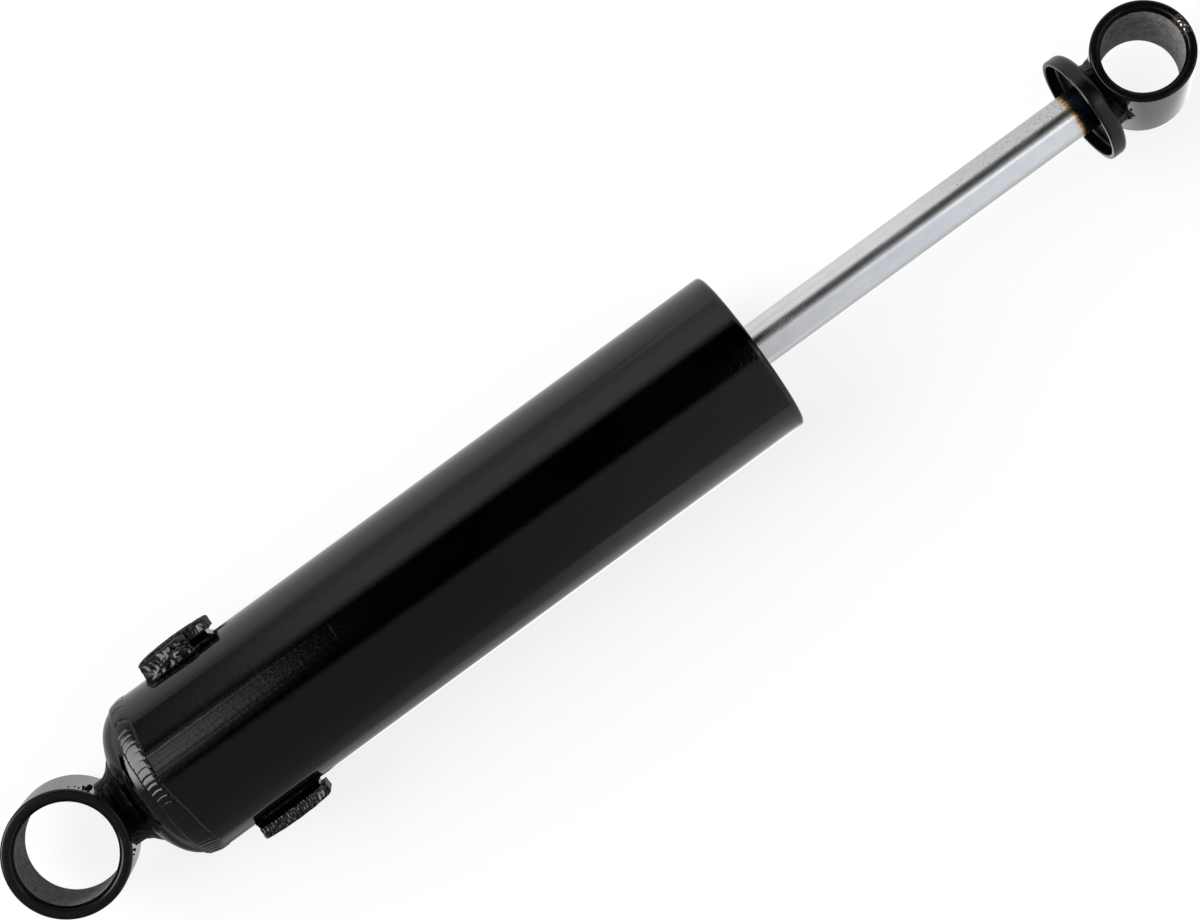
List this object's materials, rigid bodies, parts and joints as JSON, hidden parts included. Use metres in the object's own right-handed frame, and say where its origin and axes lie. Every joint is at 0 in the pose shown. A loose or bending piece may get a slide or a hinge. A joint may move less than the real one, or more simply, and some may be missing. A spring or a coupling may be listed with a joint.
{
  "type": "gas shock absorber",
  "caption": "Single-tube gas shock absorber: black steel body with an eye and two stop lugs, plated rod with a bump stop cup and a second eye, for a suspension link.",
  "frame": {"origin": "centre of the body eye's bore", "axes": "+X along the shock from the body eye to the rod eye, +Z along the body eye's bore, +Y towards the left lug"},
  "size_m": [0.379, 0.058, 0.048],
  "materials": {
    "body_paint": "gloss black paint on steel tube, light orange peel",
    "weld_paint": "gloss black paint over weld ripples",
    "eye_paint": "gloss black paint on machined ring",
    "lug_paint": "black paint on sheared plate",
    "cup_paint": "satin black paint on pressed sheet",
    "rod_plating": "bright plated and ground, heat tint beside the cup",
    "guide_alloy": "turned",
    "piston_alloy": "sintered iron",
    "bush_bronze": "bronze and plastic lining",
    "band_plastic": "bronze filled plastic",
    "seal_rubber": "matt black rubber",
    "bumper_rubber": "cast urethane",
    "hard_steel": "hardened spring steel"
  },
  "bodies": {
    "body": {"body_tube": "body_paint", "end_cap": "body_paint", "end_cap_weld": "weld_paint", "body_eye": "eye_paint", "body_eye_weld": "weld_paint", "lug_left": "lug_paint", "lug_right": "lug_paint", "lug_left_weld": "weld_paint", "lug_right_weld": "weld_paint", "rod_guide": "guide_alloy", "guide_oring": "seal_rubber", "guide_bush": "bush_bronze", "oil_seal": "seal_rubber", "seal_washer": "hard_steel", "wiper_seal": "seal_rubber", "guide_stop_ring": "hard_steel"},
    "piston_carrier": {"piston_band": "band_plastic"},
    "rod": {"piston_rod": "rod_plating", "rod_eye": "eye_paint", "rod_eye_weld": "weld_paint", "bump_cup": "cup_paint", "top_out_bumper": "bumper_rubber", "stop_plate": "hard_steel", "compression_shim_1": "hard_steel", "compression_shim_2": "hard_steel", "compression_shim_3": "hard_steel", "compression_shim_4": "hard_steel", "piston": "piston_alloy", "rebound_shim_1": "hard_steel", "rebound_shim_2": "hard_steel", "rebound_shim_3": "hard_steel", "rebound_shim_4": "hard_steel", "shim_washer": "hard_steel", "piston_nut": "hard_steel"},
    "floating_piston": {"floating_piston": "guide_alloy", "floating_piston_oring": "seal_rubber"}
  },
  "joints": [
    {"name": "rod_slide", "type": "slide", "parent": "body", "child": "piston_carrier", "axis": [1, 0, 0], "range_m": [-0.1, 0], "stiffness_N_per_m": 400, "springref_m": 0.3},
    {"name": "rod_spin", "type": "hinge", "parent": "piston_carrier", "child": "rod", "pos_m": [0.1834, 0, 0], "axis": [1, 0, 0], "continuous": true},
    {"name": "floating_slide", "type": "slide", "parent": "body", "child": "floating_piston", "axis": [1, 0, 0], "range_m": [-0.0085, 0]}
  ],
  "couplings": [
    {"joint": "floating_slide", "follows": "rod_slide", "ratio": 0.084505}
  ]
}
